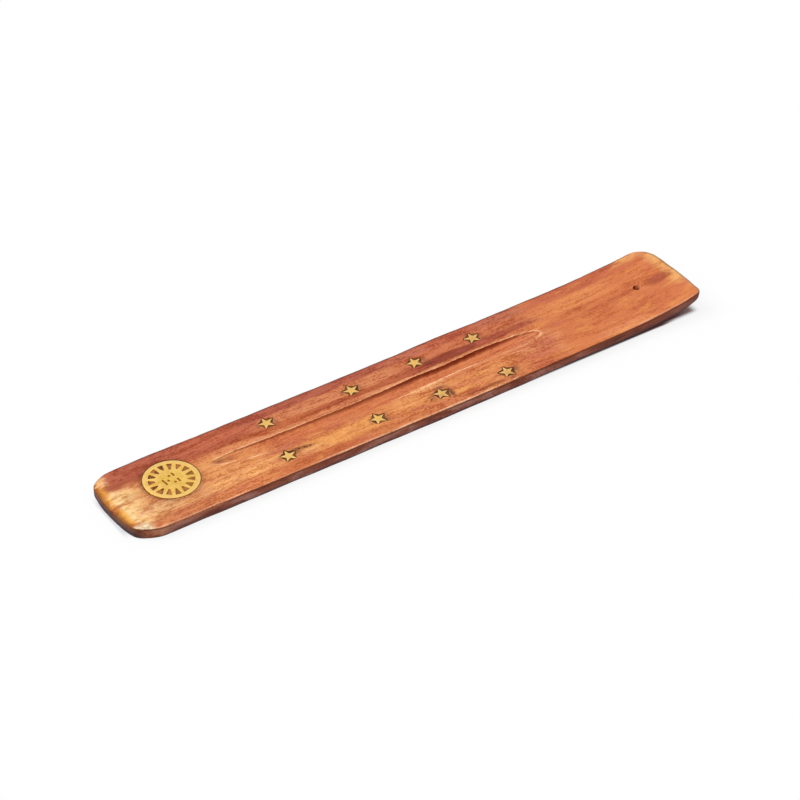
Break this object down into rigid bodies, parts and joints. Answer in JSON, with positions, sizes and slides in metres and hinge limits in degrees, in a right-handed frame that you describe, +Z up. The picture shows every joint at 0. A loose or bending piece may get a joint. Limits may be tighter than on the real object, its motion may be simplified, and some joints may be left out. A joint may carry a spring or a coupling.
{
  "type": "incense stick holder",
  "caption": "Thin hardwood ash tray for an incense stick, with an upturned end, a leaning stick hole, a scooped ash groove and flush brass sun and star inlays.",
  "frame": {"origin": "on the table under the middle of the tray", "axes": "+X along the tray towards the raised end with the stick hole, +Y to the left seen from the sun end, +Z up"},
  "size_m": [0.254, 0.0376, 0.0098],
  "materials": {
    "wood": "satin",
    "brass": "satin",
    "filler": "matte"
  },
  "bodies": {
    "root": {"wooden_tray": "wood", "sun_disc": "brass", "left_star_1": "brass", "left_star_2": "brass", "left_star_3": "brass", "left_star_4": "brass", "right_star_1": "brass", "right_star_2": "brass", "right_star_3": "brass", "right_star_4": "brass", "sun_filler": "filler", "left_star_filler_1": "filler", "left_star_filler_2": "filler", "left_star_filler_3": "filler", "left_star_filler_4": "filler", "right_star_filler_1": "filler", "right_star_filler_2": "filler", "right_star_filler_3": "filler", "right_star_filler_4": "filler"}
  },
  "joints": []
}
